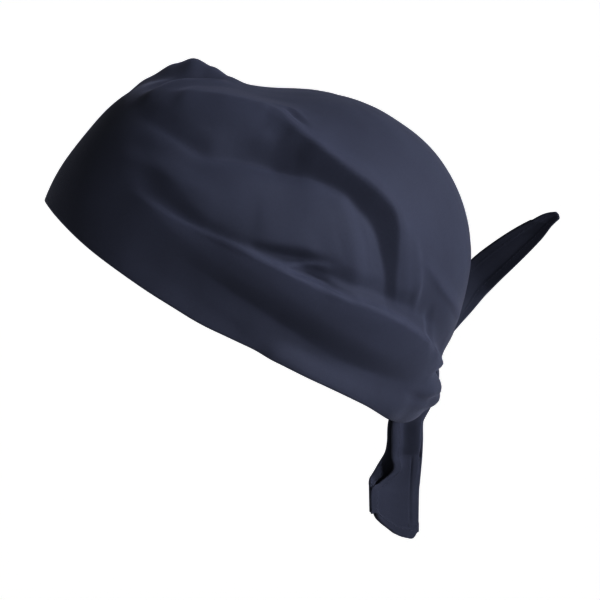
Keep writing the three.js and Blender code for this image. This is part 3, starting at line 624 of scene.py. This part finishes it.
def cloth_piece(name, rows, thickness, material, uv):
    """Cloth round a grid of middle points, with half-round edges."""
    normals, half = normals_of(rows, False), thickness[..., None] / 2
    count, n = rows.shape[:2]

    def arc(c, inner, sign):
        side = rows[:, c] - rows[:, inner]
        side /= np.linalg.norm(side, axis=1)[:, None]
        turns = [math.pi * k / EDGE_STEPS for k in range(1, EDGE_STEPS)]
        return np.stack([rows[:, c] + sign * normals[:, c] * half[:, c] * math.cos(t)
                         + side * half[:, c] * math.sin(t) for t in turns], 1)

    def round_both(values):
        """A grid's values over one face, round an edge, back over the other face and round the other edge."""
        return np.concatenate([values, np.repeat(values[:, -1:], EDGE_STEPS - 1, 1), values[:, ::-1],
                               np.repeat(values[:, :1], EDGE_STEPS - 1, 1)], axis=1)

    ring = np.concatenate([rows + normals * half, arc(n - 1, n - 2, 1), (rows - normals * half)[:, ::-1],
                           arc(0, 1, -1)], axis=1)
    ring_uv, middle = round_both(uv), round_both(rows)
    size, extra = ring.shape[1], len(END_TURNS)
    ends = []
    for e, inner in ((0, 1), (count - 1, count - 2)):
        away = middle[e] - middle[inner]
        away /= np.linalg.norm(away, axis=1)[:, None]
        h = np.linalg.norm(ring[e] - middle[e], axis=1)[:, None]
        ends.append([middle[e] + (ring[e] - middle[e]) * math.cos(t) + away * h * math.sin(t)
                     for t in END_TURNS])
    ring = np.concatenate([ends[0][::-1], ring, ends[1]], axis=0)
    ring_uv = np.concatenate([ring_uv[:1]] * extra + [ring_uv] + [ring_uv[-1:]] * extra, axis=0)
    total = ring.shape[0]
    faces = quads(total, size, True).tolist()
    low = [n + EDGE_STEPS - 1 + (n - 1 - c) for c in range(n)]
    cap = [[c, c + 1, low[c + 1], low[c]] for c in range(n - 1)]
    cap.append(list(range(n - 1, n + EDGE_STEPS)))
    cap.append([low[0]] + list(range(2 * n + EDGE_STEPS - 1, size)) + [0])
    faces += [f[::-1] for f in cap]
    faces += [[(total - 1) * size + i for i in f] for f in cap]
    # A closed mesh whose volume comes out negative has its faces turned inwards
    points = ring.reshape(-1, 3)
    triangles = np.array([[f[0], f[k], f[k + 1]] for f in faces for k in range(1, len(f) - 1)])
    a, b, c = (points[triangles[:, k]] for k in range(3))
    if (np.cross(a, b) * c).sum() < 0:
        faces = [f[::-1] for f in faces]
    return make_piece(name, points, faces, material, ring_uv.reshape(-1, 2))


def stitches(lines, material):
    """Running stitches along lines, each given as its points and the way out of the cloth at each."""
    beads, faces, count = [], [], 0
    rings, sides = len(STITCH_RINGS), STITCH_SIDES
    turns = 2 * math.pi * np.arange(sides) / sides
    for line, out in lines:
        place = np.concatenate([[0], np.cumsum(np.linalg.norm(np.diff(line, axis=0), axis=1))])
        stop = place[-1] - STITCH_LENGTH - STITCH_GAP
        for start in np.arange(STITCH_GAP, stop, STITCH_LENGTH + STITCH_GAP):
            for share, breadth, height in STITCH_RINGS:
                at = start + share * STITCH_LENGTH
                p, ahead, up = (np.array([np.interp(at + step, place, values[:, i]) for i in range(3)])
                                for step, values in ((0, line), (0.3, line), (0, out)))
                ahead = ahead - p
                up = up - ahead * (up @ ahead) / (ahead @ ahead)
                up /= np.linalg.norm(up)
                side = np.cross(ahead / np.linalg.norm(ahead), up)
                round_it = np.cos(turns)[:, None] * side + np.sin(turns)[:, None] * up
                beads.append(p + up * (STITCH_THICK * height) + STITCH_THICK / 2 * breadth * round_it)
            faces += quads(rings, sides, True, count).tolist()
            faces += [[count + i for i in range(sides - 1, -1, -1)],
                      [count + (rings - 1) * sides + i for i in range(sides)]]
            count += rings * sides
    beads = np.concatenate(beads)
    return make_piece("stitches", beads, faces, material, np.zeros((len(beads), 2)), np.zeros(len(beads)))


def sewn(piece, lines, material):
    """The piece with its stitches joined to it."""
    thread = stitches(lines, material)
    bpy.ops.object.select_all(action="DESELECT")
    for each in (piece, thread):
        each.select_set(True)
    bpy.context.view_layer.objects.active = piece
    bpy.ops.object.join()
    return piece


def run(rows, half, r, c, sign):
    """A line on one face of a cloth grid, through places given in rows and columns, and its way out."""
    normals = normals_of(rows, False)
    r, c = np.broadcast_arrays(np.asarray(r, float), np.asarray(c, float))
    r0 = np.clip(np.floor(r).astype(int), 0, rows.shape[0] - 2)
    c0 = np.clip(np.floor(c).astype(int), 0, rows.shape[1] - 2)
    fr, fc = (r - r0)[:, None], (c - c0)[:, None]

    def mix(values):
        return ((values[r0, c0] * (1 - fc) + values[r0, c0 + 1] * fc) * (1 - fr)
                + (values[r0 + 1, c0] * (1 - fc) + values[r0 + 1, c0 + 1] * fc) * fr)

    out = mix(normals) * sign
    return mix(rows) + out * mix(half[..., None]), out


def hemmed(thickness, edge, hem):
    """The cloth's thickness by the distance from its nearest edge, thicker where its hem is turned."""
    return thickness + HEM_ADDS * (1 - ramp(edge - hem - HEM_START, HEM_WAY))


def upper_tie(material, thread):
    length = UPPER_TIE[-1, 0]
    at = np.linspace(0, length, UPPER_STEPS + 1)
    middle, across, out, _ = tie_frame(knot_points(**UPPER_ROOT), UPPER_TIE, at, 5)
    width, curl = (column(UPPER_TIE, k, at)[:, None] for k in (4, 6))
    along, place = np.meshgrid(at, np.linspace(-1, 1, UPPER_COLUMNS + 1), indexing="ij")
    lift = curl * (place ** 2 - 0.4)
    fade = ramp(along, UPPER_FADE[0]) * ramp(length - along, UPPER_FADE[1])
    roll, slack, turned = UPPER_ROLL, UPPER_SLACK, UPPER_CORNER
    lift += roll["height"] * bell((place - roll["at"] - roll["drift"] * along / length) / roll["half"]) * fade
    lift += slack["height"] * np.sin(along / slack["wave"] + slack["slant"] * place) * fade
    corner = along - turned["at"] + turned["slant"] * place
    dropped = turned["fall"] * np.clip(corner - 1, 0, turned["most"])
    lift += turned["height"] * ramp(corner, turned["way"]) - dropped
    rows = middle[:, None] + across[:, None] * (place * width / 2)[..., None] + out[:, None] * lift[..., None]
    uv = np.stack([place * width / 2, along], -1)
    hem = np.minimum(HEM_WIDE, HEM_SHARE * width)
    thick = hemmed(UPPER_CLOTH, np.minimum((1 - np.abs(place)) * width / 2, length - along), hem)
    # Stitches along both sides, on both faces, clear of the knot and the tip
    r = np.flatnonzero((at > UPPER_FADE[0]) & (at < length - 4))
    inset = (1 - 2 * hem[r, 0] / width[r, 0]) * UPPER_COLUMNS / 2
    lines = [run(rows, thick / 2, r, UPPER_COLUMNS / 2 + way * inset, sign)
             for way in (-1, 1) for sign in (-1, 1)]
    return sewn(cloth_piece("tie_upper_cloth", rows, thick, material, uv), lines, thread)


def front_lift(down, t, front, roll, length):
    """How far the lower tie's front layer stands out, by the way down and the share of the way across."""
    edge, dip, groove = LOWER_EDGE, LOWER_DIP, LOWER_GROOVE
    high = edge["height"] * ramp(t - edge["from"], edge["way"]) * ramp(1 - t, edge["tuck"])
    lift = LAYER_TURN + roll * (bell((t - LOWER_ROLL["at"]) / LOWER_ROLL["half"]) + high)
    # Drawn in where the tie bends, with the hem's groove beside the rear fold below it
    lift = lift - dip["depth"] * crest((down - BEND) / dip["half"], dip["sharp"]) * ramp(t, dip["from"])
    line = crest((front * (1 - t) - groove["at"]) / groove["half"], groove["sharp"])
    line = line * ramp(down - BEND, groove["from"])
    return lift - groove["depth"] * line * ramp(length - groove["stop"] - down, groove["way"])


def lower_tie(material, thread):
    length = LOWER_TIE[-1, 0]
    at = np.linspace(0, length, LOWER_STEPS + 1)
    down = at[:, None]
    middle, across, out, along = tie_frame(knot_points(**LOWER_ROOT), LOWER_TIE, at, 4)
    front, back, gap, roll, slant = (column(LOWER_TIE, k, at)[:, None] for k in (5, 6, 7, 8, 9))
    # Places across and out of the tie: the front layer, the turn round its fold, and the back layer
    t = np.linspace(0, 1, LAYER_COLUMNS + 1)[None, :]
    turn = math.pi * np.arange(1, TURN_COLUMNS) / TURN_COLUMNS
    turn = np.broadcast_to(turn, (LOWER_STEPS + 1, TURN_COLUMNS - 1))
    a = np.concatenate([REAR_FOLD - front * (1 - t), REAR_FOLD + LAYER_TURN * np.sin(turn),
                        REAR_FOLD - back * t], axis=1)
    o = np.concatenate([front_lift(down, t, front, roll, length), LAYER_TURN * np.cos(turn),
                        -LAYER_TURN - gap * np.sin(0.75 * math.pi * t)], axis=1)
    share = np.clip((a + FREE_SIDE) / (REAR_FOLD + FREE_SIDE), 0, 1)
    drop = slant * (1 - read(END_CUT, share) / LOWER_TIE[-1, 9])
    rows = (middle[:, None] + across[:, None] * a[..., None] + out[:, None] * o[..., None]
            + along[:, None] * drop[..., None])
    steps = np.cumsum(np.linalg.norm(np.diff(rows, axis=1), axis=2), axis=1)
    arc = np.concatenate([np.zeros((LOWER_STEPS + 1, 1)), steps], axis=1)
    uv = np.stack([arc, np.broadcast_to(down, arc.shape)], -1)
    thick = hemmed(LOWER_CLOTH, np.minimum(np.minimum(arc, arc[:, -1:] - arc), length - down), HEM_WIDE)
    # Stitches beside the fold, along the end of each layer, and along each layer's free side
    r = np.flatnonzero((at > BEND + 3) & (at < length - 1))
    free = np.flatnonzero((at > 6) & (at < length - 1))
    beside = (1 - (LOWER_GROOVE["at"] + 0.5) / front[r, 0]) * LAYER_COLUMNS
    low = np.arange(1.5, LAYER_COLUMNS - 2)
    bottom = (length - HEM_WIDE) / length * LOWER_STEPS
    last = rows.shape[1] - 1
    places = [(r, beside), (bottom, low), (free, HEM_WIDE / front[free, 0] * LAYER_COLUMNS),
              (bottom, last - low), (free, last - HEM_WIDE / back[free, 0] * LAYER_COLUMNS)]
    lines = [run(rows, thick / 2, along_it, across_it, 1) for along_it, across_it in places]
    return sewn(cloth_piece("tie_lower_cloth", rows, thick, material, uv), lines, thread)


# Materials

def set_inputs(node, values):
    for key, value in values.items():
        node.inputs[key].default_value = value


def new_material(name, finish):
    """A material with its finish set, then its nodes, links and shader."""
    material = bpy.data.materials.new(name)
    material.use_nodes = True
    tree = material.node_tree
    shader = tree.nodes["Principled BSDF"]
    set_inputs(shader, finish)
    return material, tree.nodes, tree.links, shader


def add_bump(nodes, links, shader, height, strength, distance):
    bump = nodes.new("ShaderNodeBump")
    set_inputs(bump, {"Strength": strength, "Distance": distance})
    links.new(height, bump.inputs["Height"])
    links.new(bump.outputs[0], shader.inputs["Normal"])


def cotton():
    """Plain-woven cotton. Its tone varies with the weave, slubs and soft clouds, and proud crests are
    lightened as a painted highlight.
    """
    material, nodes, links, shader = new_material("navy_cotton", COTTON_FINISH)

    def node(kind, **values):
        made = nodes.new(kind)
        for key, value in values.items():
            setattr(made, key, value)
        return made

    def maths(operation, *values):
        made = node("ShaderNodeMath", operation=operation)
        for k, value in enumerate(values):
            if hasattr(value, "links"):
                links.new(value, made.inputs[k])
            else:
                made.inputs[k].default_value = value
        return made.outputs[0]

    place = node("ShaderNodeUVMap", uv_map="Weave").outputs[0]
    split = node("ShaderNodeSeparateXYZ")
    links.new(place, split.inputs[0])
    waves = [maths("SINE", maths("MULTIPLY", split.outputs[k], math.pi / (THREAD * MM))) for k in (0, 1)]
    cross = maths("MULTIPLY", waves[0], waves[1])
    warp = maths("MULTIPLY", maths("ABSOLUTE", waves[0]), maths("MULTIPLY_ADD", cross, 0.4, 0.6))
    weft = maths("MULTIPLY", maths("ABSOLUTE", waves[1]), maths("MULTIPLY_ADD", cross, -0.4, 0.6))
    weave = maths("MAXIMUM", warp, weft)
    coordinates = node("ShaderNodeTexCoord").outputs["Object"]

    def noise(scale, detail, roughness):
        made = node("ShaderNodeTexNoise")
        set_inputs(made, {"Scale": scale, "Detail": detail, "Roughness": roughness})
        links.new(coordinates, made.inputs["Vector"])
        return made.outputs["Fac"]

    cloud, slub = noise(*CLOUD_NOISE), noise(*SLUB_NOISE)
    tone = maths("ADD", maths("MULTIPLY_ADD", cloud, CLOUD_TONE, 1 - CLOUD_TONE / 2),
                 maths("MULTIPLY_ADD", slub, SLUB_TONE, -SLUB_TONE / 2))
    tone = maths("MULTIPLY", tone, maths("MULTIPLY_ADD", weave, WEAVE_TONE, WEAVE_DARK))
    # Painted highlight: proud fold crests are made lighter
    proud = node("ShaderNodeAttribute", attribute_name="proud").outputs["Fac"]
    tone = maths("MULTIPLY", tone, maths("MULTIPLY_ADD", proud, CREST_HIGHLIGHT_TONE, 1.0))
    grey = node("ShaderNodeCombineColor")
    for k in range(3):
        links.new(tone, grey.inputs[k])
    # The mix node's colours are its inputs 6 and 7 and its output 2
    colour = node("ShaderNodeMix", data_type="RGBA", blend_type="MULTIPLY")
    colour.inputs["Factor"].default_value = 1.0
    colour.inputs[6].default_value = (*NAVY, 1)
    links.new(grey.outputs[0], colour.inputs[7])
    links.new(colour.outputs[2], shader.inputs["Base Color"])
    height = maths("ADD", maths("MULTIPLY", weave, WEAVE_DEPTH), maths("MULTIPLY", slub, SLUB_DEPTH))
    height = maths("ADD", height, maths("MULTIPLY", noise(*NAP_NOISE), NAP_DEPTH))
    add_bump(nodes, links, shader, height, strength=0.5, distance=1.0)
    return material


def sewing_thread():
    """Navy thread, a shade lighter than the cloth, with its twist as fine stripes."""
    material, nodes, links, shader = new_material("navy_thread", THREAD_FINISH)
    twist = nodes.new("ShaderNodeTexWave")
    set_inputs(twist, {"Scale": 900, "Distortion": 1.5})
    links.new(nodes.new("ShaderNodeTexCoord").outputs["Object"], twist.inputs["Vector"])
    shades = nodes.new("ShaderNodeValToRGB")
    for element, shade in zip(shades.color_ramp.elements, THREAD_SHADES):
        element.color = shade
    links.new(twist.outputs["Fac"], shades.inputs["Fac"])
    links.new(shades.outputs[0], shader.inputs["Base Color"])
    add_bump(nodes, links, shader, twist.outputs["Fac"], strength=0.4, distance=0.0001)
    return material


# Camera, light and floor

def towards(azimuth, elevation):
    """The way to a place by its azimuth from the front over the left ear, and its elevation."""
    a, e = math.radians(azimuth), math.radians(elevation)
    return Vector((math.sin(a) * math.cos(e), -math.cos(a) * math.cos(e), math.sin(e)))


def set_camera():
    back = towards(AZIMUTH, ELEVATION)
    right = Vector((math.cos(math.radians(AZIMUTH)), math.sin(math.radians(AZIMUTH)), 0))
    up = back.cross(right)
    data = bpy.data.cameras.new("camera")
    data.lens, data.sensor_width = LENS, SENSOR
    camera = bpy.data.objects.new("camera", data)
    camera.location = (right * AIM_RIGHT + up * AIM_UP + back * DISTANCE) * MM
    camera.rotation_euler = back.to_track_quat("Z", "Y").to_euler()
    scene.collection.objects.link(camera)
    scene.camera = camera


def area_light(name, azimuth, elevation, distance, size, power, spread, aim):
    data = bpy.data.lights.new(name, "AREA")
    data.shape, data.size, data.energy = "DISK", size, power
    data.spread = math.radians(spread)
    light = bpy.data.objects.new(name, data)
    way = towards(azimuth, elevation)
    light.location = way * distance + Vector(aim) * MM
    light.rotation_euler = way.to_track_quat("Z", "Y").to_euler()
    scene.collection.objects.link(light)


def studio():
    mesh = bpy.data.meshes.new("floor")
    corners = [(x * FLOOR_HALF, y * FLOOR_HALF, FLOOR_LEVEL) for x, y in ((-1, -1), (1, -1), (1, 1), (-1, 1))]
    mesh.from_pydata(corners, [], [[0, 1, 2, 3]])
    white = {"Base Color": (*FLOOR_GREY, 1), "Roughness": 0.9, "Emission Color": (1, 1, 1, 1),
             "Emission Strength": FLOOR_GLOW}
    mesh.materials.append(new_material("floor_white", white)[0])
    floor = bpy.data.objects.new("floor", mesh)
    scene.collection.objects.link(floor)
    for light in LIGHTS:
        area_light(*light)
    world = bpy.data.worlds.new("studio")
    world.use_nodes = True
    nodes, links = world.node_tree.nodes, world.node_tree.links
    split, place = nodes.new("ShaderNodeSeparateXYZ"), nodes.new("ShaderNodeTexCoord")
    links.new(place.outputs["Generated"], split.inputs[0])
    fall = nodes.new("ShaderNodeMapRange")
    set_inputs(fall, WORLD)
    links.new(split.outputs[2], fall.inputs["Value"])
    background = nodes["Background"]
    background.inputs["Color"].default_value = (1, 1, 1, 1)
    links.new(fall.outputs[0], background.inputs["Strength"])
    scene.world = world
    scene.view_settings.view_transform = "Standard"
    scene.view_settings.gamma = GAMMA


set_camera()
studio()
NAVY_COTTON = cotton()
NAVY_THREAD = sewing_thread()
pieces = {
    "crown": crown(NAVY_COTTON, NAVY_THREAD),
    "knot": knot(NAVY_COTTON),
    "tie_upper": upper_tie(NAVY_COTTON, NAVY_THREAD),
    "tie_lower": lower_tie(NAVY_COTTON, NAVY_THREAD),
}
for node_name, piece in pieces.items():
    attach(piece, "root")
    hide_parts(node_name)
